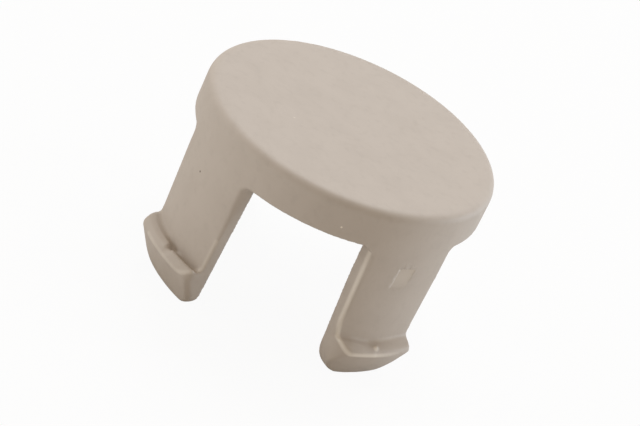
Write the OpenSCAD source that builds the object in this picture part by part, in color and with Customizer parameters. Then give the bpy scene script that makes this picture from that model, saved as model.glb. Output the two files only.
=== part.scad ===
// Snap-in cover cap for a bolt head: a flat round crown with a short rim, and
// snap legs below the rim that end in outward hooks. Moulded in one piece.
// Frame: millimetres, +Z up through the crown, origin under the crown's centre
// at the level of the leg tips. A gap between two legs faces -Y.

/* [Crown] */
// Outer diameter of the crown and its rim
crown_d = 25; // [20:0.5:40]
// Height of the rim, from the top face to the upper end of the gaps
rim_h = 3.4; // [2.6:0.1:6]
// Thickness of the flat top plate
top_t = 1.6; // [1:0.1:2.2]
// Radius of the rounded edge round the top face
edge_r = 0.7; // [0.2:0.05:0.9]
// Wall thickness of the rim, and of the legs where they leave it
wall_t = 1.2; // [1:0.05:1.6]

/* [Snap legs] */
// Number of snap legs, evenly spaced
leg_count = 4; // [3:1:4]
// Width of a leg where it leaves the rim
leg_w = 8.3; // [6:0.1:10]
// Draft of each side face of a leg, in degrees
side_draft = 2.4; // [0:0.1:4]
// Draft of the legs' outer faces, in degrees
outer_draft = 0.3; // [0:0.1:0.6]
// Draft of the legs' inner faces, in degrees, which open towards the tips
inner_draft = 0.9; // [0.3:0.1:1.2]
// Distance from the top face down to the foot of the hook ledge
reach = 12; // [8:0.1:16]
// Radius in the upper corners of the gaps
gap_r = 0.45; // [0.2:0.05:1]

/* [Hooks] */
// Overhang of the hook nose beyond the leg's outer face
hook_out = 1.2; // [0.5:0.02:1.4]
// Slope of the hook ledge, in degrees below level
ledge_slope = 39; // [20:1:55]
// Width of the brow between the nose and the level ledge on the left front hook's outer half
brow_w = 0.45; // [0.2:0.05:0.45]
// Height from the foot of the ledge down to the leg tip
hook_h = 3.9; // [3.4:0.1:6]
// Radius of the rounded leg tip
tip_r = 0.4; // [0.25:0.05:0.45]
// Radius between a leg's outer face and its hook ledge
root_r = 0.4; // [0.2:0.05:0.5]
// Radius of the hook's corners, seen from above
nose_corner_r = 1; // [0.4:0.1:1.4]
// Radius of the leg's lower corners, seen from outside
foot_corner_r = 1.9; // [0.5:0.1:2.4]

/* [Gate mark] */
// Width of the mark where the moulding gate was cut off, on one leg
gate_w = 1.5; // [0.8:0.1:2]
// Height of the gate mark
gate_h = 1.9; // [0.8:0.1:2.5]
// Depth of the gate mark at its upper edge
gate_depth = 0.18; // [0.05:0.01:0.3]
// Distance from the top face down to the upper edge of the gate mark
gate_drop = 5; // [4.2:0.1:8]

/* [Hidden] */
$fn = 128;
// Overlap between shapes that are joined, and room past a cut
lap = 0.1;
// Rise of the gap corners' rounds into the rim above them
corner_rise = lap / 4;
cap_h = reach + hook_h;
crown_r = crown_d / 2;
gap_z = cap_h - rim_h;
leg_turn = 360 / leg_count;
// Turn from +X to the middle of the leg that carries the gate mark
first_leg = leg_turn / 2 - 90;

// Radius of the legs' outer and inner faces, and half a leg's width, at height z
function outer_r(z) = crown_r - (gap_z - z) * tan(outer_draft);
function inner_r(z) = crown_r - wall_t + (gap_z - z) * tan(inner_draft);
function half_w(z) = leg_w / 2 - (gap_z - z) * tan(side_draft);
// Unit vector in a section, at an angle above its first axis
function heading(a) = [cos(a), sin(a)];

// Foot and nose of the hook ledge, as radius and height
ledge_foot = [outer_r(hook_h), hook_h];
nose = ledge_foot + hook_out * [1, -tan(ledge_slope)];
// Centre of the leg tip, which touches the inner face and the level of z = 0
tip_c = [inner_r(tip_r * (1 - sin(inner_draft))) + tip_r * cos(inner_draft), tip_r];
tip_inner = tip_c + tip_r * heading(180 + inner_draft);
// Foot of the lead-in ramp, where a line from the nose meets the tip
ramp_v = nose - tip_c;
ramp_foot = tip_c + tip_r * heading(atan2(ramp_v[1], ramp_v[0]) - acos(tip_r / norm(ramp_v)));

module cover_cap() {
    color("#c7bdb3") difference() {
        intersection() {
            union() {
                rotate_extrude() {
                    wall_section();
                    ledge_root();
                }
                mirror([1, 0, 0]) rotate([0, 0, first_leg]) level_ledge();
            }
            union() {
                translate([0, 0, gap_z]) cylinder(r = crown_r + lap, h = rim_h + lap);
                each_leg() leg_room();
            }
        }
        each_leg() hook_corners();
        rotate([0, 0, first_leg]) gate_mark();
    }
}

// Children set at every leg, from their place along +X
module each_leg() {
    for (i = [0 : leg_count - 1]) rotate([0, 0, first_leg + i * leg_turn]) children();
}

// Half section through a leg: top plate, rim, straight wall, ledge, nose, lead-in ramp and tip
module wall_section() {
    plate_z = cap_h - top_t;
    edge_c = [crown_r - edge_r, cap_h - edge_r];
    polygon([
        [0, cap_h], [0, plate_z], [inner_r(plate_z), plate_z], tip_inner, ramp_foot, nose,
        ledge_foot, [crown_r, gap_z], [crown_r, edge_c[1]], [edge_c[0], cap_h]
    ]);
    translate(tip_c) circle(tip_r);
    translate(edge_c) circle(edge_r);
}

// Hollow round between the leg's outer face and the ledge
module ledge_root() {
    face_a = 90 - outer_draft;
    half_a = (face_a + ledge_slope) / 2;
    root_c = ledge_foot + root_r / sin(half_a) * heading(face_a - half_a);
    run = root_r / tan(half_a);
    difference() {
        polygon([
            ledge_foot - lap * heading(face_a - half_a), ledge_foot + run * heading(-ledge_slope),
            root_c, ledge_foot + run * heading(face_a)
        ]);
        translate(root_c) circle(root_r);
    }
}

// Level ledge on a leg along +X, from the leg's middle past its +Y side
module level_ledge() {
    intersection() {
        rotate_extrude() level_section();
        cube([nose[0] + lap, leg_w, cap_h]);
    }
}

// Half section of the level ledge, which drops to a small lip behind the nose
module level_section() {
    brow = ledge_foot + [hook_out - brow_w, 0];
    lip = ledge_foot + (hook_out - lap) * [1, -tan(ledge_slope)];
    polygon([
        ledge_foot - [lap, lap], ledge_foot - [lap, 0], brow, lip + [0, lap], lip - [0, lap]
    ]);
}

// Room that a leg along +X takes of the wall below the rim
module leg_room() {
    translate([crown_r / 2, 0, 0]) rotate([90, 0, 90]) linear_extrude(nose[0]) leg_outline();
}

// Leg seen from outside: drafted sides, round lower corners, hollow rounds under the rim
module leg_outline() {
    foot_c = [half_w(foot_corner_r) - foot_corner_r / cos(side_draft), foot_corner_r];
    foot_side = foot_c + foot_corner_r * heading(-side_draft);
    corner_z = gap_z - gap_r + corner_rise;
    corner_c = [half_w(corner_z) + gap_r / cos(side_draft), corner_z];
    corner_side = corner_c + gap_r * heading(180 - side_draft);
    for (side = [0, 1]) mirror([side, 0]) {
        polygon([
            [-lap, 0], [foot_c[0], 0], foot_side, [half_w(gap_z), gap_z],
            [half_w(gap_z), gap_z + lap], [-lap, gap_z + lap]
        ]);
        translate(foot_c) circle(foot_corner_r);
        difference() {
            polygon([
                corner_side - [lap, 0], corner_side, corner_c,
                [corner_c[0], gap_z + lap], [half_w(gap_z) - lap, gap_z + lap]
            ]);
            translate(corner_c) circle(gap_r);
        }
    }
}

// Waste outside both round corners of the hook along +X
module hook_corners() {
    for (side = [0, 1])
        mirror([0, side, 0]) translate([0, 0, -lap]) linear_extrude(hook_h + 2 * lap) hook_corner();
}

// Waste outside one round corner of the hook, seen from above
module hook_corner() {
    corner_c_t = half_w(hook_h) - nose_corner_r;
    corner_c = [sqrt(pow(nose[0] - nose_corner_r, 2) - pow(corner_c_t, 2)), corner_c_t];
    past = nose[0] + lap;
    difference() {
        polygon([
            corner_c, [corner_c[0], leg_w / 2], [past, leg_w / 2],
            corner_c * past / norm(corner_c)
        ]);
        translate(corner_c) circle(nose_corner_r);
    }
}

// Shallow cut on the leg along +X, deepest at its upper edge and running out below
module gate_mark() {
    gate_z = cap_h - gate_drop;
    translate([outer_r(gate_z) - gate_depth, -gate_w / 2, gate_z])
        rotate([0, -atan(gate_depth / gate_h), 0])
            translate([0, 0, -2 * gate_h]) cube([wall_t, gate_w, 2 * gate_h]);
}

cover_cap();
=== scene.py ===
"""Looks of a moulded bolt cover cap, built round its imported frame."""

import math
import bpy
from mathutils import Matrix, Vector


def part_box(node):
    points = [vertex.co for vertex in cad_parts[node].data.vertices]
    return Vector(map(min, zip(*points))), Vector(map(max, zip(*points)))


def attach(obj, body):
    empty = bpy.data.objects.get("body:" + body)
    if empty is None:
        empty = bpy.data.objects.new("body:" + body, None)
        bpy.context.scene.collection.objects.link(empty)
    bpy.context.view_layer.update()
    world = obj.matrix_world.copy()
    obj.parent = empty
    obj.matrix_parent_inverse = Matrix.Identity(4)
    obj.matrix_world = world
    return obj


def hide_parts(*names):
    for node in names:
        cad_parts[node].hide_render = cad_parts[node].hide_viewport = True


bl_info = {
    "name": "Bolt Cover Cap",
    "version": (1, 0, 0),
    "blender": (4, 5, 0),
    "location": "View3D > Sidebar > Cap",
    "description": "Moulds a snap-in cover cap and sets it on a white stage",
    "category": "Add Mesh",
}

from typing import NamedTuple

import bmesh
import bpy
from bpy.props import FloatProperty, FloatVectorProperty, IntProperty, PointerProperty
from mathutils import Euler, Matrix, Vector
from mathutils.bvhtree import BVHTree
from mathutils.geometry import interpolate_bezier
from mathutils.kdtree import KDTree

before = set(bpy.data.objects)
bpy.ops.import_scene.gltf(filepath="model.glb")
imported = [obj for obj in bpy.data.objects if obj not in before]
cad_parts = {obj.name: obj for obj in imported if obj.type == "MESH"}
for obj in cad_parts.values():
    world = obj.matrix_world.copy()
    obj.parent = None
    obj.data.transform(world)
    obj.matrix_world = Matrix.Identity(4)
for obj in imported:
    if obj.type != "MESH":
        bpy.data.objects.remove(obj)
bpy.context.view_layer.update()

CAP_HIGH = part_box("cover_cap")[1]
MM = 0.001
IMAGE_SIZE = (640, 426)
SENSOR_W = 36
# Turn from leg to leg, and from +X to the leg with the gate mark, in degrees
LEG_TURN = 90
GATE_TURN = -45
# Steps of the crown's and the gap corners' spins, and the wedges that make up half a leg
CROWN_STEPS = 180
SHOULDER_STEPS = 24
WEDGES = 44
# Sweep of those wedges, their start past the leg's middle, and their overlap
HALF_SWEEP = math.radians(29)
PAST_MIDDLE = math.radians(1)
WEDGE_LAP = 1.3
# Turn of the grid that the skin is fused on
GRID_TILT = Euler((0.4, 0.25, 0.55))
# Points on a straight stretch and on the bend of a light line
LINE_POINTS = 40
BEND_POINTS = 60
# Plane cuts that round a foot corner, a hook corner and the edge at a hook's end
FOOT_CUTS = 6
HOOK_CUTS = 5
EDGE_CUTS = 4
# Angle that the fill of a gap corner sweeps past it, in radians
FILL_LAP = 0.01
# Top of the ledges' surroundings, as a share of the hook's height
LEDGE_TOP = 1.2
LAMPS = ("overhead", "left_fill", "right_fill")
# Mirror from one side of a leg along +X to the other
ACROSS = Matrix.Diagonal((1, -1, 1, 1))


def length(name, description, default_mm):
    """A length property, with its default in millimetres."""
    return FloatProperty(
        name=name, description=description, default=default_mm * MM, unit="LENGTH", precision=5
    )


def place(name, description, default_mm):
    """A place property, with its default in millimetres."""
    return FloatVectorProperty(
        name=name, description=description, default=[c * MM for c in default_mm], size=3,
        unit="LENGTH", precision=5,
    )


def turn(name, description, default_deg):
    """An angle property, with its default in degrees."""
    return FloatProperty(
        name=name, description=description, default=math.radians(default_deg), unit="ROTATION"
    )


def colour(name, description, default):
    """A colour property, with its default in sRGB from 0 to 255."""
    linear = [((c / 255 + 0.055) / 1.055) ** 2.4 for c in default]
    return FloatVectorProperty(
        name=name, description=description, default=linear, subtype="COLOR", size=3, min=0, max=1
    )


def tint(name, description, default):
    """A lamp's colour property, with its default in linear light from 0 to 1."""
    return FloatVectorProperty(
        name=name, description=description, default=default, subtype="COLOR", size=3, min=0, max=1
    )


def power(name, description, default):
    """A lamp's power property, with its default in watts."""
    return FloatProperty(name=name, description=description, default=default, unit="POWER")


def share(name, description, default):
    """A share from 0 to 1."""
    return FloatProperty(name=name, description=description, default=default, subtype="FACTOR")


def number(name, description, default):
    """A plain number."""
    return FloatProperty(name=name, description=description, default=default)


def count(name, description, default):
    """A whole number."""
    return IntProperty(name=name, description=description, default=default)


def ledge(name, description, default_mm):
    """A hook ledge, in millimetres from its foot on the leg's outer face.

    In order: drop of the foot, reach of the valley, reach and rise of the crest, reach and drop
    of the brow, reach of the nose past the plain one, and its lift.
    """
    return FloatVectorProperty(
        name=name, description=description, default=[c * MM for c in default_mm], size=8,
        unit="LENGTH", precision=5,
    )


class CapSizes(bpy.types.PropertyGroup):
    """Sizes of the cap's crown, legs and hooks."""

    crown_d: length("Crown diameter", "Outer diameter of the crown and rim", CAP_HIGH.x * 2 / MM)
    height: length("Height", "From the leg tips to the top face", CAP_HIGH.z / MM)
    rim_h: length("Rim height", "From the top face to the upper end of the gaps", 3.4)
    top_t: length("Top thickness", "Thickness of the flat top plate", 1.6)
    edge_r: length("Edge radius", "Round of the edge about the top face", 0.7)
    wall_t: length("Wall", "Wall of the rim, and of the legs where they leave it", 1.2)
    leg_w: length("Leg width", "Width of a leg where it leaves the rim", 8.3)
    side_draft: turn("Side draft", "Draft of each side face of a leg", 2.4)
    outer_draft: turn("Outer draft", "Draft of the legs' outer faces", 0.3)
    inner_draft: turn("Inner draft", "Draft of the legs' inner faces", 0.9)
    gap_r: length("Gap corner", "Round in the upper corners of the gaps", 0.45)
    hook_h: length("Hook height", "From the leg tip up to the foot of the ledge", 3.9)
    hook_out: length("Hook overhang", "Reach of the nose beyond the leg's outer face", 1.2)
    ledge_slope: turn("Ledge slope", "Slope of the hook ledge below level", 39)
    root_r: length("Ledge root", "Round between a leg's outer face and its ledge", 0.3)
    brow_r: length("Brow round", "Round of the brow between a ledge and the nose", 0.3)
    tip_w: length("Tip width", "Width of the leg tip before it is rounded", 0.65)
    tip_r: length("Tip round", "Round of the leg tip", 0.3)
    nose_corner_r: length("Hook corner", "Round of the hook's corners, seen from above", 1.0)
    foot_corner_r: length("Foot corner", "Round of a leg's lower corners, seen from outside", 1.9)
    skin: length("Skin mesh", "Edge length of the fused skin's faces", 0.085)
    skin_passes: count("Skin passes", "Smoothing passes that round the skin's edges", 18)
    ledge_passes: count("Ledge passes", "Those of the passes that also reach the ledges", 9)
    triangles: count("Triangles", "Number of triangles that the skin is thinned to", 190000)


class CapMarks(bpy.types.PropertyGroup):
    """Marks that the mould left on the cap, and the painted highlights on some of them."""

    groove: ledge(
        "Grooved ledge", "Ledge with a groove along its foot",
        (0.42, 0.35, 0.76, 0.1, 1.0, 0.28, 0.0, 0.18),
    )
    pit_ledge: ledge(
        "Pit", "Low place of that ledge near the middle",
        (0.5, 0.35, 0.75, -0.25, 0.95, 0.45, 0.0, 0.12),
    )
    lump: ledge(
        "Lump", "Raised place beside the pit", (0.4, 0.2, 0.6, 0.08, 0.95, 0.18, 0.0, 0.18)
    )
    block: ledge(
        "Block", "Swollen ledge beyond the lump", (0.14, 0.0, 0.6, 0.0, 1.0, 0.2, 0.1, 0.2)
    )
    block_end: ledge(
        "Block end", "Level ledge at the block's end", (-0.15, 0.0, 0.45, 0.2, 0.9, 0.0, 0.2, 0.2)
    )
    pillow: ledge(
        "Pillow", "Swollen ledge below the gate mark", (0.12, 0.0, 0.55, 0.02, 0.98, 0.3, 0.0, 0.15)
    )
    dip: ledge(
        "Dip", "Low place beside the pillow", (0.3, 0.0, 0.5, -0.34, 0.95, 0.46, 0.0, 0.12)
    )
    saddle: ledge(
        "Saddle", "Ledge about the nub", (0.22, 0.0, 0.45, -0.38, 0.95, 0.55, 0.0, 0.06)
    )
    slope: ledge(
        "Slope", "Sloping ledge beyond the nub", (0.12, 0.0, 0.4, -0.29, 0.95, 0.53, 0.0, 0.05)
    )
    rim: ledge(
        "End rim", "Rim that closes a ledge at its end", (0.0, 0.0, 0.45, -0.3, 0.95, 0.72, 0.0, 0.08)
    )
    rim_w: length("Rim width", "Width of that rim", 0.4)
    outer_corner_r: length("Outer corner", "Hook corner, from above, on the outer halves", 0.3)
    outer_foot_r: length("Outer foot", "Foot corner of the leg without the gate mark, outside", 1.5)
    worn_corner_r: length("Worn corner", "Lower hook corner of the leg with the gate mark", 2.2)
    worn_foot_r: length("Worn foot", "Foot corner below that worn hook corner", 2.5)
    full_foot_r: length("Full foot", "Foot corner of the other front leg, below its lower half", 1.4)
    end_r: length("Hook end", "Round between a hook's ramp and its end", 0.7)
    nub_r: length("Nub", "Radius of the nub below the gate mark", 0.22)
    nub_out: length("Nub reach", "From the leg's outer face to the nub below the gate", 0.66)
    nub_aside: length("Nub aside", "From the leg's middle across to that nub", 0.05)
    nub_drop: length("Nub drop", "From the ledge's foot down to that nub", 0.5)
    # The light lines are partly mould flash and partly painted highlight on rounded edges.
    flash_and_highlight_w: length("Flash width", "Half width of the light line where the mould parts", 0.26)
    thin_flash_and_highlight_w: length("Thin flash", "Half width of the thinner light lines", 0.24)
    # Painted highlight: a light spot painted on the nub to make it look lit.
    nub_highlight_w: length("Nub flash", "Radius of the light spot about the nub", 0.288)
    flash_h: length("Flash height", "Height of the light lines above the skin", 0.02)
    flash_in: length("Flash inset", "From a leg's edge to the light line along it", 0.1)
    flash_turn: length("Flash turn", "Height above the hook at which the gate leg's line turns", 1.6)
    other_turn: length("Other turn", "The same on the other front leg", 0.3)
    other_top: length("Other top", "Height above the hook at which that leg's line starts", 3.0)
    turn_in: length("Turn inset", "From the leg's edge to the corner that the line turns about", 0.59)
    nose_run: length("Nose run", "From the leg's edge to where the line meets the nose", 1.4)
    nose_in: length("Nose inset", "From the nose up the ledge to the line along it", 0.1)
    far_end: length("Far end", "From the gate leg's middle to the far end of its nose line", 2.4)
    other_end: length("Other end", "From the other leg's middle to the far end of its nose line", 2.3)
    strip_from: length("Strip start", "From the gate leg's middle to its light strip", 0.4)
    strip_to: length("Strip end", "From the gate leg's middle to that strip's end", 2.2)
    strip_down: length("Strip drop", "From the ledge's foot down the ledge to that strip", 0.2)
    gate_w: length("Gate width", "Width of the gate mark", 1.5)
    gate_h: length("Gate height", "Height of the gate mark", 1.9)
    gate_depth: length("Gate depth", "Depth of the gate mark at its upper left corner", 0.28)
    gate_drop: length("Gate drop", "From the top face down to the gate mark", 5.0)
    gate_lean: share("Gate lean", "Lean of the gate mark's sides, as a share of its width", 0.15)
    gate_fade: share("Gate fade", "Share of the mark's depth lost downwards and sideways", 0.8)
    # Painted highlight: the gate mark's lighter colour stands in for light on its upturned cut.
    gate_highlight: share("Gate light", "Strength of the light colour in the gate mark", 0.38)


class CapFinish(bpy.types.PropertyGroup):
    """Colours and grain of the plastic, with the colours of painted highlights and painted shade."""

    pit: place("Pit", "Dark pit on the left front leg", (-9.25, -8.36, 10.44))
    rim_dot: place("Rim dot", "Light dot on the front of the rim", (2.67, -12.21, 13.55))
    top_dot: place("Top dot", "Light dot on the top face", (-4.49, -3.57, 15.9))
    dot_r: length("Dot radius", "Radius of the pit and of the dots", 0.11)
    top_dot_light: share("Top dot strength", "Share of the light colour in the top dot", 0.35)
    # Painted shade: a dark dot that stands in for the shade in a tiny pit, which the mesh does not
    # have.
    pit_shade: colour("Pit colour", "Colour of the pit", (104, 92, 80))
    plastic: colour("Plastic", "Main colour of the beige plastic", (199, 189, 179))
    mottle: colour("Mottle", "Slightly darker clouds in the plastic", (193, 183, 173))
    # Light colour of the flash lines, also used as painted highlight on edges, the nub and the gate
    # mark, and for the light dots.
    flash: colour("Flash", "Light colour of the thin flash where the mould parts", (242, 234, 223))
    flash_and_highlight_share: share("Flash light", "Share of that light colour on the flash", 0.9)
    cloud_scale: number("Cloud scale", "Scale of the darker clouds", 420)
    cloud_share: share("Cloud share", "Strength of the darker clouds", 0.55)
    speck_scale: number("Speck scale", "Scale of the darker specks", 1500)
    speck_share: share("Speck share", "Strength of the darker specks", 0.6)
    grain_scale: number("Grain scale", "Scale of the fine grain", 4200)
    grain_depth: length("Grain depth", "Depth of the fine grain", 0.03)
    grain_strength: share("Grain strength", "Strength of the fine grain", 0.18)
    roughness: share("Roughness", "Roughness of the moulded skin", 0.6)
    sheen_change: share("Sheen change", "Change of roughness with the grain", 0.12)


class StageSetup(bpy.types.PropertyGroup):
    """Camera, floor and lamps."""

    azimuth: turn("Azimuth", "Camera's turn about the cap, from its front", 1.0)
    elevation: turn("Elevation", "Camera's height above level", 26.5)
    roll: turn("Roll", "Camera's roll about its line of sight", 25.33)
    distance: length("Distance", "From the camera to the middle of the top face", 208.3)
    lens: number("Lens", "Focal length in millimetres", 145.6)
    top_px: FloatVectorProperty(
        name="Top centre", description="Pixel of the middle of the top face",
        default=(354.3, 123.8), size=2,
    )
    floor_size: length("Floor", "Side of the square floor", 4000)
    floor_colour: colour("Floor colour", "Colour of the pale floor", (225, 223, 220))
    floor_glow: share("Floor glow", "Share of plain white in the floor", 0.94)
    ambient: colour("Ambient", "Colour of the light from all round", (183, 172, 158))
    overhead_at: place("Overhead place", "Place of the large lamp above and behind", (0, 320, 500))
    overhead_size: length("Overhead size", "Side of that lamp", 400)
    overhead_power: power("Overhead power", "Power of that lamp", 2.24)
    overhead_tint: tint("Overhead tint", "Colour of that lamp", (0.86, 0.92, 1.0))
    left_fill_at: place("Left fill place", "Place of the low lamp on the left", (-450, -80, 100))
    left_fill_size: length("Left fill size", "Side of that lamp", 160)
    left_fill_power: power("Left fill power", "Power of that lamp", 0.56)
    left_fill_tint: tint("Left fill tint", "Colour of that lamp", (0.93, 0.97, 1.0))
    right_fill_at: place("Right fill place", "Place of the low lamp on the right", (420, 200, 50))
    right_fill_size: length("Right fill size", "Side of that lamp", 100)
    right_fill_power: power("Right fill power", "Power of that lamp", 0.98)
    right_fill_tint: tint("Right fill tint", "Colour of that lamp", (0.75, 0.87, 1.0))


# Shader trees

class Signal:
    """A socket of a shader tree, on which arithmetic adds Math nodes."""

    def __init__(self, tree, socket=None):
        self.tree = tree
        self.socket = socket

    def node(self, kind, settings=None, sockets=None, output=0):
        """Adds a node of that kind and returns one of its outputs."""
        made = self.tree.nodes.new("ShaderNode" + kind)
        for name, value in (settings or {}).items():
            setattr(made, name, value)
        for name, value in (sockets or {}).items():
            if isinstance(value, Signal):
                self.tree.links.new(value.socket, made.inputs[name])
            else:
                made.inputs[name].default_value = value
        return Signal(self.tree, made.outputs[output] if made.outputs else None)

    def maths(self, operation, first, second):
        """Adds a Math node on two signals or numbers."""
        return self.node("Math", {"operation": operation}, {0: first, 1: second})

    def __add__(self, other):
        return self.maths("ADD", self, other)

    __radd__ = __add__

    def __sub__(self, other):
        return self.maths("SUBTRACT", self, other)

    def __rsub__(self, other):
        return self.maths("SUBTRACT", other, self)

    def __mul__(self, other):
        return self.maths("MULTIPLY", self, other)

    __rmul__ = __mul__


def fresh_tree(block):
    """Empties a material's or world's node tree and returns a signal to build on."""
    block.use_nodes = True
    block.node_tree.nodes.clear()
    return Signal(block.node_tree)


def rgba(values):
    """A colour with full opacity."""
    return (*values, 1.0)


def layered(tree, strength, below, above):
    """A colour over another, by a strength from 0 to 1."""
    return tree.node("Mix", {"data_type": "RGBA"}, {0: strength, 6: below, 7: above}, output=2)


def noise(tree, spot, scale, detail, roughness):
    """A cloudy pattern, from 0 to 1."""
    return tree.node(
        "TexNoise", None,
        {"Vector": spot, "Scale": scale, "Detail": detail, "Roughness": roughness},
    )


def plastic_material(finish):
    """Matte moulded plastic: clouded colour, fine grain and a soft sheen, with painted highlights and
    a dot of painted shade.
    """
    material = bpy.data.materials.new("beige_plastic")
    tree = fresh_tree(material)
    spot = tree.node("TexCoord", output="Object")
    clouds = noise(tree, spot, finish.cloud_scale, detail=3, roughness=0.5)
    specks = noise(tree, spot, finish.speck_scale, detail=2, roughness=0.5)
    grain = noise(tree, spot, finish.grain_scale, detail=2, roughness=0.6)
    cloudy = tree.node("MapRange", None, {"Value": clouds, "From Min": 0.4, "From Max": 0.7})
    specked = tree.node("MapRange", None, {"Value": specks, "From Min": 0.52, "From Max": 0.75})
    darker = cloudy * finish.cloud_share + specked * finish.speck_share
    tone = layered(tree, darker, rgba(finish.plastic), rgba(finish.mottle))
    # Mask of the light colour: partly mould flash, partly painted highlight where edges, the nub and
    # the gate mark catch light.
    flash = tree.node("Attribute", {"attribute_name": "flash"}, output="Fac")
    tone = layered(tree, flash * finish.flash_and_highlight_share, tone, rgba(finish.flash))
    # The pit is a dot of painted shade; the rim and top dots are light marks in the flash colour.
    for middle, strength, paint in (
        (finish.pit, 1.0, finish.pit_shade),
        (finish.rim_dot, 1.0, finish.flash),
        (finish.top_dot, finish.top_dot_light, finish.flash),
    ):
        far = tree.node(
            "VectorMath", {"operation": "DISTANCE"}, {0: spot, 1: tuple(middle)}, output="Value"
        )
        dot = tree.node(
            "MapRange", None,
            {"Value": far, "From Min": finish.dot_r / 2, "From Max": finish.dot_r,
             "To Min": strength, "To Max": 0.0},
        )
        tone = layered(tree, dot, tone, rgba(paint))
    bump = tree.node(
        "Bump", None,
        {"Strength": finish.grain_strength, "Distance": finish.grain_depth, "Height": grain},
        output="Normal",
    )
    shader = tree.node(
        "BsdfPrincipled", None,
        {"Base Color": tone, "Roughness": finish.roughness + finish.sheen_change * (grain - 0.5),
         "Normal": bump, "IOR": 1.46, "Specular IOR Level": 0.4},
    )
    tree.node("OutputMaterial", None, {"Surface": shader})
    return material


# Sections, as radius and height

def rounded(corners, step=math.radians(15)):
    """Points of an outline whose corners, each (radius, height, round), are made round."""
    points = []
    for i, (x, z, radius) in enumerate(corners):
        corner = Vector((x, z))
        if radius == 0:
            points.append(corner)
            continue
        back = (Vector(corners[i - 1][:2]) - corner).normalized()
        ahead = (Vector(corners[(i + 1) % len(corners)][:2]) - corner).normalized()
        half = back.angle(ahead) / 2
        centre = corner + (back + ahead).normalized() * radius / math.sin(half)
        first = corner + back * radius / math.tan(half) - centre
        last = corner + ahead * radius / math.tan(half) - centre
        sweep = first.angle_signed(last)
        steps = max(2, math.ceil(abs(sweep) / step))
        for k in range(steps + 1):
            arm = first.copy()
            arm.rotate(Matrix.Rotation(-sweep * k / steps, 2))
            points.append(centre + arm)
    return points


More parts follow.
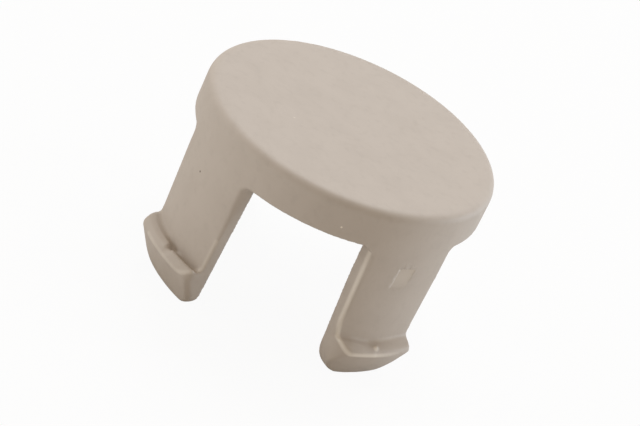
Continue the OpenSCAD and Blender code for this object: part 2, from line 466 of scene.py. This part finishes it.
class CapShape:
    """Places on the cap, worked out from its sizes."""

    def __init__(self, sizes):
        self.s = sizes
        self.crown_r = sizes.crown_d / 2
        self.gap_z = sizes.height - sizes.rim_h
        self.plate_z = sizes.height - sizes.top_t
        self.sink = sizes.rim_h / 3
        self.foot = Vector((self.outer_r(sizes.hook_h), sizes.hook_h))
        self.nose = self.foot + sizes.hook_out * Vector((1, -math.tan(sizes.ledge_slope)))

    def outer_r(self, z):
        """Radius of the legs' outer faces at a height."""
        return self.crown_r - (self.gap_z - z) * math.tan(self.s.outer_draft)

    def inner_r(self, z):
        """Radius of the legs' inner faces at a height."""
        return self.crown_r - self.s.wall_t + (self.gap_z - z) * math.tan(self.s.inner_draft)

    def half_w(self, z):
        """Half a leg's width at a height."""
        return self.s.leg_w / 2 - (self.gap_z - z) * math.tan(self.s.side_draft)

    def crown_section(self):
        """Top plate and rim, from the axis round to the axis."""
        s = self.s
        return rounded([
            (0, s.height, 0),
            (self.crown_r, s.height, s.edge_r),
            (self.crown_r, self.gap_z, 0),
            (self.inner_r(self.gap_z), self.gap_z, 0),
            (self.inner_r(self.plate_z), self.plate_z, s.edge_r),
            (0, self.plate_z, 0),
        ])

    def plain_ledge(self):
        """Corners of an unmarked ledge, from the leg's outer face to the nose."""
        return [(*self.foot, self.s.root_r), (*self.nose, 0)]

    def ledge(self, form):
        """Corners of a marked ledge, from the leg's outer face to the nose."""
        x, z = self.foot
        foot_drop, valley_out, crest_out, crest_rise, brow_out, brow_drop, nose_out, nose_lift = form
        root_r, brow_r = self.s.root_r, self.s.brow_r
        foot = [(x, z - foot_drop, 0), (x + valley_out, z - foot_drop, 0)]
        if valley_out == 0:
            foot = [(x, z - foot_drop + 2 * root_r, 0), (x, z - foot_drop, root_r)]
        return [
            *foot,
            (x + crest_out, z + crest_rise, brow_r / 2),
            (x + brow_out, z - brow_drop, brow_r),
            (self.nose.x + nose_out, self.nose.y + nose_lift, 0),
        ]

    def leg_section(self, ledge_corners):
        """Closed section of a leg with that ledge; its upper end sits in the rim."""
        s = self.s
        inner_tip = self.inner_r(0)
        top_z = self.gap_z + self.sink
        return rounded([
            (self.crown_r - s.wall_t / 4, top_z, 0),
            (self.crown_r, self.gap_z, 0),
            *ledge_corners,
            (inner_tip + s.tip_w, 0, s.tip_r),
            (inner_tip, 0, s.tip_r),
            (self.inner_r(self.gap_z), self.gap_z, 0),
            (self.crown_r - s.wall_t * 3 / 4, top_z, 0),
        ])

    def hook_corner(self, radius, nose_r):
        """Middle of a hook's round corner on the +Y side of a leg along +X, seen from above."""
        y = self.half_w(self.s.hook_h) - radius
        return Vector((math.sqrt((nose_r - radius) ** 2 - y**2), y))

    def on_face(self, across, down):
        """Point of a leg along +X, across it and down from the ledge's foot along the plain ledge.

        A point above the foot has a negative way down, and lies on the leg's outer face.
        """
        slope = self.nose - self.foot
        radius, z = self.foot + slope * min(1, max(0, down) / slope.length)
        z -= min(0, down)
        return Vector((math.sqrt(radius**2 - across**2), across, z))

    def edge_line(self, marks, top, turn_up, across_end):
        """Line down a leg's edge on its +Y side, round into the nose and along it."""
        leg_edge = self.half_w(self.s.hook_h)
        to_nose = (self.nose - self.foot).length - marks.nose_in
        edge = [
            Vector((self.half_w(self.s.hook_h + up) - marks.flash_in, -up))
            for up in spread(top, turn_up, LINE_POINTS)
        ]
        corner = Vector((leg_edge - marks.turn_in, to_nose - marks.nose_in))
        nose = Vector((leg_edge - marks.nose_run, to_nose))
        bend = interpolate_bezier(
            edge[-1], edge[-1].lerp(corner, 2 / 3), nose.lerp(corner, 2 / 3), nose, BEND_POINTS
        )
        along = [Vector((across, to_nose)) for across in spread(nose.x, across_end, LINE_POINTS)]
        return [self.on_face(*spot.xy) for spot in (*edge, *bend, *along)]

    def shoulder_section(self):
        """Closed section of the wall about the upper end of a gap."""
        low = self.gap_z - self.s.gap_r
        high = self.gap_z + self.sink
        return [
            Vector((self.inner_r(low), low)), Vector((self.outer_r(low), low)),
            Vector((self.crown_r, self.gap_z)), Vector((self.crown_r - self.s.wall_t / 4, high)),
            Vector((self.crown_r - self.s.wall_t * 3 / 4, high)),
            Vector((self.inner_r(self.gap_z), self.gap_z)),
        ]


# Mesh work

def spin(bm, points, closed, start, sweep, steps):
    """Adds a mesh turned about Z from a section, from the angle start through sweep."""
    verts = [bm.verts.new((p.x * math.cos(start), p.x * math.sin(start), p.y)) for p in points]
    pairs = list(zip(verts, verts[1:]))
    if closed:
        pairs.append((verts[-1], verts[0]))
    edges = [bm.edges.new(pair) for pair in pairs]
    full = abs(sweep) >= 2 * math.pi
    bmesh.ops.spin(
        bm, geom=verts + edges, cent=(0, 0, 0), axis=(0, 0, 1), angle=sweep, steps=steps,
        use_merge=full, use_duplicate=False,
    )


def close(bm):
    """Closes open ends, merges doubles and points the faces outwards."""
    bmesh.ops.remove_doubles(bm, verts=bm.verts, dist=1e-7)
    open_edges = [e for e in bm.edges if e.is_boundary]
    if open_edges:
        bmesh.ops.holes_fill(bm, edges=open_edges, sides=0)
    bmesh.ops.recalc_face_normals(bm, faces=bm.faces)


def trim(bm, point, normal):
    """Cuts away what lies on the normal's side of a plane and closes the cut."""
    cut = bmesh.ops.bisect_plane(
        bm, geom=bm.verts[:] + bm.edges[:] + bm.faces[:], plane_co=point, plane_no=normal,
        clear_outer=True,
    )
    edges = [e for e in cut["geom_cut"] if isinstance(e, bmesh.types.BMEdge) and e.is_boundary]
    if edges:
        bmesh.ops.holes_fill(bm, edges=edges, sides=0)


def spread(first, last, total):
    """Values evenly spaced from the first to the last."""
    return [first + (last - first) * k / (total - 1) for k in range(total)]


def between(first, last, total):
    """Values evenly spaced inside a range, without its ends."""
    return spread(first, last, total + 2)[1:-1]


def round_edge(bm, point, first, second, radius):
    """Rounds the edge through a point between two faces, given by their outward normals."""
    axis = point - radius * (first + second) / (1 + first.dot(second))
    for part in between(0, 1, EDGE_CUTS):
        out = first.lerp(second, part).normalized()
        trim(bm, axis + radius * out, out)


class HalfLeg(NamedTuple):
    """Forms of half a leg: its ledges, by distance from the leg's middle, and its corner rounds."""

    ledges: list
    corner_r: float
    foot_r: float
    end_r: float

    @property
    def nose_r(self):
        """Reach of the nose at the leg's side."""
        return self.ledges[-1][1][-1][0]

    def ledge_at(self, across):
        """Corners of the ledge at a distance from the leg's middle, blended between the ledges."""
        for (first_at, first), (second_at, second) in zip(self.ledges, self.ledges[1:]):
            if across < second_at:
                part = max(0, (across - first_at) / (second_at - first_at))
                return [Vector(a).lerp(Vector(b), part) for a, b in zip(first, second)]
        return self.ledges[-1][1]


def front_halves(shape, marks):
    """Forms of the front legs' halves, by whether the leg has the gate and the half lies outside."""
    s = shape.s
    end = shape.half_w(s.hook_h)

    def stations(*pairs):
        """Ledges by distance from the leg's middle, from their places as shares of its half width."""
        return [(end * at, shape.ledge(form)) for at, form in pairs]

    rim_in, rim_out = 1 - marks.rim_w / end, 1 - marks.rim_w / 2 / end
    slope = stations((0, marks.saddle), (0.15, marks.slope))
    pillow = stations(
        (0, marks.saddle), (0.08, marks.dip), (0.16, marks.dip), (0.6, marks.pillow),
        (rim_in, marks.pillow), (rim_out, marks.rim),
    )
    block = stations(
        (0, marks.lump), (0.25, marks.block), (0.65, marks.block), (0.9, marks.block_end)
    )
    groove = stations(
        (0, marks.lump), (0.06, marks.pit_ledge), (0.18, marks.pit_ledge), (0.26, marks.groove),
        (rim_in, marks.groove), (rim_out, marks.rim),
    )
    return {
        (True, True): HalfLeg(slope, marks.outer_corner_r, s.foot_corner_r, s.tip_r),
        (True, False): HalfLeg(pillow, marks.worn_corner_r, marks.worn_foot_r, marks.end_r),
        (False, True): HalfLeg(block, marks.outer_corner_r, marks.outer_foot_r, s.tip_r),
        (False, False): HalfLeg(groove, s.nose_corner_r, marks.full_foot_r, marks.end_r),
    }


def round_foot(bm, shape, radius):
    """Rounds the lower corner of half a leg, seen from outside."""
    draft = shape.s.side_draft
    middle = Vector((0, shape.half_w(radius) - radius / math.cos(draft), radius))
    for angle in between(-draft, -math.pi / 2, FOOT_CUTS):
        out = Vector((0, math.cos(angle), math.sin(angle)))
        trim(bm, middle + radius * out, out)


def round_hook(bm, shape, radius, nose_r):
    """Rounds the corner of half a hook, seen from above."""
    middle = shape.hook_corner(radius, nose_r).to_3d()
    for angle in between(math.atan2(middle.y, middle.x), math.pi / 2, HOOK_CUTS):
        out = Vector((math.cos(angle), math.sin(angle), 0))
        trim(bm, middle + radius * out, out)


def round_end(bm, shape, side, radius):
    """Rounds the edge between the ramp of half a hook and the leg's side face."""
    tip_x = shape.inner_r(0) + shape.s.tip_w
    ramp = Vector((shape.nose.x - tip_x, shape.nose.y))
    middle = Vector((tip_x, 0)) + ramp / 2
    turned = math.asin(shape.half_w(middle.y) / middle.x)
    spot = Vector((middle.x * math.cos(turned), middle.x * math.sin(turned), middle.y))
    down = Vector((ramp.y, 0, -ramp.x)).normalized()
    down.rotate(Matrix.Rotation(turned, 3, "Z"))
    round_edge(bm, spot, down, side, radius)


def leg_half(shape, form):
    """Half a leg along +X, on its +Y side and a little past the leg's middle."""
    draft = shape.s.side_draft
    bm = bmesh.new()
    step = HALF_SWEEP / WEDGES
    for k in range(WEDGES):
        start = k * step - PAST_MIDDLE
        across = shape.foot.x * math.sin(start + step / 2)
        spin(bm, shape.leg_section(form.ledge_at(across)), True, start, step * WEDGE_LAP, 2)
    close(bm)
    side = Vector((0, math.cos(draft), -math.sin(draft)))
    trim(bm, (0, shape.half_w(shape.gap_z), shape.gap_z), side)
    round_foot(bm, shape, form.foot_r)
    round_hook(bm, shape, form.corner_r, form.nose_r)
    round_end(bm, shape, side, form.end_r)
    return bm


def nub_middle(shape, marks):
    """Middle of the nub on a leg along +X."""
    return Vector((shape.foot.x + marks.nub_out, marks.nub_aside, shape.foot.y - marks.nub_drop))


def nub(shape, marks):
    """Small round nub on the ledge below the gate mark, for a leg along +X."""
    bm = bmesh.new()
    bmesh.ops.create_icosphere(
        bm, subdivisions=3, radius=marks.nub_r, matrix=Matrix.Translation(nub_middle(shape, marks))
    )
    return bm


def shoulder(shape):
    """Fill of the gap corner on the +Y side of a leg along +X."""
    s = shape.s
    chamfer = s.gap_r * (2 - math.sqrt(2))
    sweep = math.asin((s.leg_w / 2 + s.gap_r) / shape.inner_r(shape.gap_z)) + FILL_LAP
    bm = bmesh.new()
    spin(bm, shape.shoulder_section(), True, 0, sweep, SHOULDER_STEPS)
    close(bm)
    slope = math.sqrt(0.5)
    trim(bm, (0, shape.half_w(shape.gap_z), shape.gap_z - chamfer), (0, slope, -slope))
    return bm


def add_part(blank, part, matrix):
    """Adds a part's mesh to the blank, set in its place."""
    bmesh.ops.transform(part, matrix=matrix, verts=part.verts)
    bmesh.ops.recalc_face_normals(part, faces=part.faces)
    mesh = bpy.data.meshes.new("part")
    part.to_mesh(mesh)
    part.free()
    blank.from_mesh(mesh)
    bpy.data.meshes.remove(mesh)


def fused_skin(blank, edge):
    """One even skin round all the parts of the blank, on a grid that no face lies along."""
    tilt = GRID_TILT.to_matrix().to_4x4()
    bmesh.ops.transform(blank, matrix=tilt, verts=blank.verts)
    mesh = bpy.data.meshes.new("blank")
    blank.to_mesh(mesh)
    blank.free()
    holder = bpy.data.objects.new("blank", mesh)
    bpy.context.scene.collection.objects.link(holder)
    remesh = holder.modifiers.new("Skin", "REMESH")
    remesh.mode = "VOXEL"
    remesh.voxel_size = edge
    skin = bmesh.new()
    skin.from_mesh(holder.evaluated_get(bpy.context.evaluated_depsgraph_get()).data)
    bpy.data.objects.remove(holder)
    bpy.data.meshes.remove(mesh)
    bmesh.ops.transform(skin, matrix=tilt.inverted(), verts=skin.verts)
    return skin


def smooth(bm, verts, passes):
    """Evens out some of the skin's vertices."""
    for _ in range(passes):
        bmesh.ops.smooth_vert(
            bm, verts=verts, factor=0.5, use_axis_x=True, use_axis_y=True, use_axis_z=True
        )


def on_ledge(shape, point):
    """Whether a point lies on a hook's ledge or in the groove at its foot."""
    out = point.xy.length - shape.outer_r(point.z)
    return out > -shape.s.tip_r and shape.nose.y < point.z < shape.s.hook_h * LEDGE_TOP


class FlashAndHighlightLine(NamedTuple):
    """A light line painted on a leg, partly mould flash and partly painted highlight: its points on a
    leg along +X, and that leg's stand.
    """

    stand: Matrix
    points: list
    half_w: float
    first_light: float
    last_light: float

    def light(self, k):
        """Strength of the light colour at one of the points."""
        return self.first_light + (self.last_light - self.first_light) * k / len(self.points)


def flash_and_highlight_lines(shape, marks, gate, other):
    """Light lines on the two front legs, whose stands are given: mould flash that is partly painted
    highlight, and a painted highlight on the nub.
    """
    to_nose = (shape.nose - shape.foot).length - marks.nose_in
    edge_top = shape.gap_z - shape.s.gap_r - shape.s.hook_h
    edge = shape.edge_line(marks, edge_top, marks.flash_turn, 0)
    other_edge = shape.edge_line(marks, marks.other_top, marks.other_turn, -marks.other_end)
    far_nose = [shape.on_face(t, to_nose) for t in spread(0, marks.far_end, LINE_POINTS)]
    strip = [
        shape.on_face(t, marks.strip_down)
        for t in spread(marks.strip_from, marks.strip_to, LINE_POINTS // 2)
    ]
    nub_w, thin_w = marks.nub_highlight_w, marks.thin_flash_and_highlight_w
    return [
        FlashAndHighlightLine(gate @ ACROSS, edge, marks.flash_and_highlight_w, first_light=0.75, last_light=1),
        FlashAndHighlightLine(gate, far_nose, thin_w, first_light=0.9, last_light=0.1),
        FlashAndHighlightLine(gate, strip, thin_w, first_light=0.15, last_light=0.1),
        # Painted highlight on the nub.
        FlashAndHighlightLine(gate, [nub_middle(shape, marks)], nub_w, first_light=0.9, last_light=0.9),
        FlashAndHighlightLine(other, other_edge, thin_w, first_light=0.38, last_light=0.38),
    ]


def raise_flash_and_highlight(bm, lines, height, sight):
    """Raises light lines, seen along a line of sight, out of the skin and stores them as the mask of
    the light colour, partly mould flash and partly painted highlight.
    """
    surface = BVHTree.FromBMesh(bm)
    ahead = 5 * MM
    tree = KDTree(sum(len(line.points) for line in lines))
    forms = []
    for line in lines:
        for k, point in enumerate(line.points):
            spot = line.stand @ point
            seen = surface.ray_cast(spot - sight * ahead, sight, 2 * ahead)[0]
            tree.insert(seen or surface.find_nearest(spot)[0], len(forms))
            forms.append((line.light(k), line.half_w))
    tree.balance()
    layer = bm.verts.layers.float.new("flash")
    for vert in bm.verts:
        _, index, far = tree.find(vert.co)
        strength, width = forms[index]
        if far < width:
            vert[layer] = strength * (1 - (far / width) ** 2)
            vert.co += vert.normal * height * vert[layer]


def thinned(bm, triangles):
    """A mesh of the skin with about that many triangles, fewest where it is flat."""
    mesh = bpy.data.meshes.new("skin")
    bmesh.ops.triangulate(bm, faces=bm.faces)
    kept = triangles / len(bm.faces)
    bm.to_mesh(mesh)
    bm.free()
    holder = bpy.data.objects.new("skin", mesh)
    bpy.context.scene.collection.objects.link(holder)
    thin = holder.modifiers.new("Thin", "DECIMATE")
    thin.ratio = min(1, kept)
    graph = bpy.context.evaluated_depsgraph_get()
    made = bpy.data.meshes.new_from_object(holder.evaluated_get(graph))
    bpy.data.objects.remove(holder)
    bpy.data.meshes.remove(mesh)
    return made


def press_gate_mark(bm, shape, marks, angle):
    """Presses the shallow cut of the gate into the leg at that angle, and paints a highlight into it
    that fades downwards.
    """
    along = Vector((math.cos(angle), math.sin(angle), 0))
    across = Vector((-along.y, along.x, 0))
    top = shape.s.height - marks.gate_drop
    layer = bm.verts.layers.float["flash"]
    for vert in bm.verts:
        out = vert.co.dot(along)
        down = (top - vert.co.z) / marks.gate_h
        side = vert.co.dot(across) / marks.gate_w + 0.5 + marks.gate_lean * down
        if not (0 < down < 1 and 0 < side < 1):
            continue
        depth = marks.gate_depth * (1 - marks.gate_fade * down) * (1 - marks.gate_fade * side)
        limit = shape.outer_r(vert.co.z) - depth
        if shape.crown_r - shape.s.wall_t / 2 < out and out > limit:
            vert.co -= along * (out - limit)
            # Painted highlight in the cut, fading downwards.
            vert[layer] = marks.gate_highlight * (1 - down**3)


def moulded_blank(shape, marks, stands):
    """Crown, legs, gap corners and nub in one mesh, not yet fused; the first leg has the gate."""
    s = shape.s
    blank = bmesh.new()
    crown = bmesh.new()
    spin(crown, shape.crown_section(), False, 0, 2 * math.pi, CROWN_STEPS)
    close(crown)
    add_part(blank, crown, Matrix.Identity(4))
    front = front_halves(shape, marks)
    rear = HalfLeg([(0, shape.plain_ledge())], s.nose_corner_r, s.foot_corner_r, s.tip_r)
    for stand in stands:
        along = stand.col[0]
        for seat, side in ((stand, 1), (stand @ ACROSS, -1)):
            form = rear
            if along.y < 0:
                form = front[along.x > 0, side * along.x > 0]
            add_part(blank, leg_half(shape, form), seat)
            add_part(blank, shoulder(shape), seat)
    add_part(blank, nub(shape, marks), stands[0])
    return blank


class CAP_OT_mould(bpy.types.Operator):
    """Moulds the cap: crown, four snap legs and the marks of the mould, in one skin"""

    bl_idname = "cap.mould"
    bl_label = "Mould the cap"

    def execute(self, context):
        scene = context.scene
        sizes, marks = scene.cap_sizes, scene.cap_marks
        shape = CapShape(sizes)
        turns = [math.radians(degrees) for degrees in range(GATE_TURN, 360 + GATE_TURN, LEG_TURN)]
        stands = [Matrix.Rotation(angle, 4, "Z") for angle in turns]
        skin = fused_skin(moulded_blank(shape, marks, stands), sizes.skin)
        smooth(skin, skin.verts, sizes.ledge_passes)
        others = [v for v in skin.verts if not on_ledge(shape, v.co)]
        smooth(skin, others, sizes.skin_passes - sizes.ledge_passes)
        bmesh.ops.recalc_face_normals(skin, faces=skin.faces)
        skin.normal_update()
        lines = flash_and_highlight_lines(shape, marks, gate=stands[0], other=stands[-1])
        raise_flash_and_highlight(skin, lines, marks.flash_h, -camera_back(scene.cap_stage))
        press_gate_mark(skin, shape, marks, turns[0])
        mesh = thinned(skin, sizes.triangles)
        mesh.name = "cap_body"
        mesh.shade_smooth()
        cap = bpy.data.objects.new("cap_body", mesh)
        scene.collection.objects.link(cap)
        mesh.materials.append(plastic_material(scene.cap_finish))
        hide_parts("cover_cap")
        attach(cap, "root")
        return {"FINISHED"}


# Stage

def floor_material(stage):
    """Pale floor that the camera sees as near white, with the cap's shadow left on it."""
    material = bpy.data.materials.new("pale_floor")
    tree = fresh_tree(material)
    paths = tree.node("LightPath", output="Is Camera Ray")
    matt = tree.node("BsdfDiffuse", None, {"Color": rgba(stage.floor_colour)})
    glow = tree.node("Emission", None, {"Color": (1, 1, 1, 1), "Strength": 1.0})
    seen = paths * stage.floor_glow
    surface = tree.node("MixShader", None, {0: seen, 1: matt, 2: glow})
    tree.node("OutputMaterial", None, {"Surface": surface})
    return material


def stage_world(stage):
    """White to the camera, and a dim warm light from all round otherwise."""
    world = bpy.data.worlds.new("studio")
    tree = fresh_tree(world)
    paths = tree.node("LightPath", output="Is Camera Ray")
    dim = tree.node("Background", None, {"Color": rgba(stage.ambient), "Strength": 1.0})
    white = tree.node("Background", None, {"Color": (1, 1, 1, 1), "Strength": 1.0})
    shown = tree.node("MixShader", None, {0: paths, 1: dim, 2: white})
    tree.node("OutputWorld", None, {"Surface": shown})
    return world


def softbox(stage, name, target):
    """One of the stage's square soft lamps, which points at a target."""
    lamp = bpy.data.lights.new(name, "AREA")
    lamp.shape = "SQUARE"
    lamp.size = getattr(stage, name + "_size")
    lamp.energy = getattr(stage, name + "_power")
    lamp.color = getattr(stage, name + "_tint")
    spot = Vector(getattr(stage, name + "_at"))
    holder = bpy.data.objects.new(name, lamp)
    holder.location = spot
    holder.rotation_euler = (target - spot).to_track_quat("-Z", "Y").to_euler()
    bpy.context.scene.collection.objects.link(holder)


def camera_back(stage):
    """Direction from the cap to the camera."""
    e, a = stage.elevation, stage.azimuth
    return Vector((math.sin(a) * math.cos(e), -math.cos(a) * math.cos(e), math.sin(e)))


def place_camera(stage, target):
    """Camera at the photograph's angle, with the target at its pixel."""
    data = bpy.data.cameras.new("camera")
    data.sensor_width = SENSOR_W
    data.lens = stage.lens
    data.clip_start = stage.distance / 20
    data.clip_end = stage.floor_size * 2
    back = camera_back(stage)
    level = Vector((math.cos(stage.azimuth), math.sin(stage.azimuth), 0))
    upright = back.cross(level)
    right = level * math.cos(stage.roll) + upright * math.sin(stage.roll)
    up = back.cross(right)
    axes = Matrix((right, up, back)).transposed()
    focal_px = stage.lens / SENSOR_W * IMAGE_SIZE[0]
    seen = Vector((
        stage.top_px[0] - (IMAGE_SIZE[0] - 1) / 2,
        (IMAGE_SIZE[1] - 1) / 2 - stage.top_px[1],
        -focal_px,
    ))
    swing = seen.rotation_difference(Vector((0, 0, -1))).to_matrix()
    camera = bpy.data.objects.new("camera", data)
    camera.matrix_world = Matrix.Translation(target + back * stage.distance) @ (
        axes @ swing
    ).to_4x4()
    bpy.context.scene.collection.objects.link(camera)
    return camera


class CAP_OT_stage(bpy.types.Operator):
    """Sets up the camera, the pale floor and the soft lamps"""

    bl_idname = "cap.stage"
    bl_label = "Set the stage"

    def execute(self, context):
        scene = context.scene
        stage = scene.cap_stage
        top = Vector((0, 0, scene.cap_sizes.height))
        scene.camera = place_camera(stage, top)
        scene.view_settings.view_transform = "Standard"
        scene.world = stage_world(stage)
        bm = bmesh.new()
        bmesh.ops.create_grid(bm, x_segments=1, y_segments=1, size=stage.floor_size / 2)
        mesh = bpy.data.meshes.new("floor")
        bm.to_mesh(mesh)
        bm.free()
        mesh.materials.append(floor_material(stage))
        floor = bpy.data.objects.new("floor", mesh)
        scene.collection.objects.link(floor)
        for name in LAMPS:
            softbox(stage, name, top)
        return {"FINISHED"}


class CAP_PT_panel(bpy.types.Panel):
    """Sidebar panel with the cap's steps"""

    bl_idname = "CAP_PT_panel"
    bl_label = "Bolt Cover Cap"
    bl_space_type = "VIEW_3D"
    bl_region_type = "UI"
    bl_category = "Cap"

    def draw(self, context):
        for step in STEPS:
            self.layout.operator(step.bl_idname)
        for group in GROUPS:
            settings = getattr(context.scene, group)
            for name in settings.bl_rna.properties.keys():
                if name not in ("rna_type", "name"):
                    self.layout.prop(settings, name)


STEPS = (CAP_OT_stage, CAP_OT_mould)
GROUPS = {
    "cap_sizes": CapSizes, "cap_marks": CapMarks, "cap_finish": CapFinish, "cap_stage": StageSetup
}


def register():
    """Registers the classes and hangs the settings on the scene."""
    for group in GROUPS.values():
        bpy.utils.register_class(group)
    for step in STEPS:
        bpy.utils.register_class(step)
    bpy.utils.register_class(CAP_PT_panel)
    for name, group in GROUPS.items():
        setattr(bpy.types.Scene, name, PointerProperty(type=group))


def unregister():
    """Undoes what register does."""
    for name in GROUPS:
        delattr(bpy.types.Scene, name)
    bpy.utils.unregister_class(CAP_PT_panel)
    for step in STEPS:
        bpy.utils.unregister_class(step)
    for group in GROUPS.values():
        bpy.utils.unregister_class(group)


def main():
    """Builds the stage and the cap."""
    register()
    bpy.ops.cap.stage()
    bpy.ops.cap.mould()


if __name__ == "__main__":
    main()
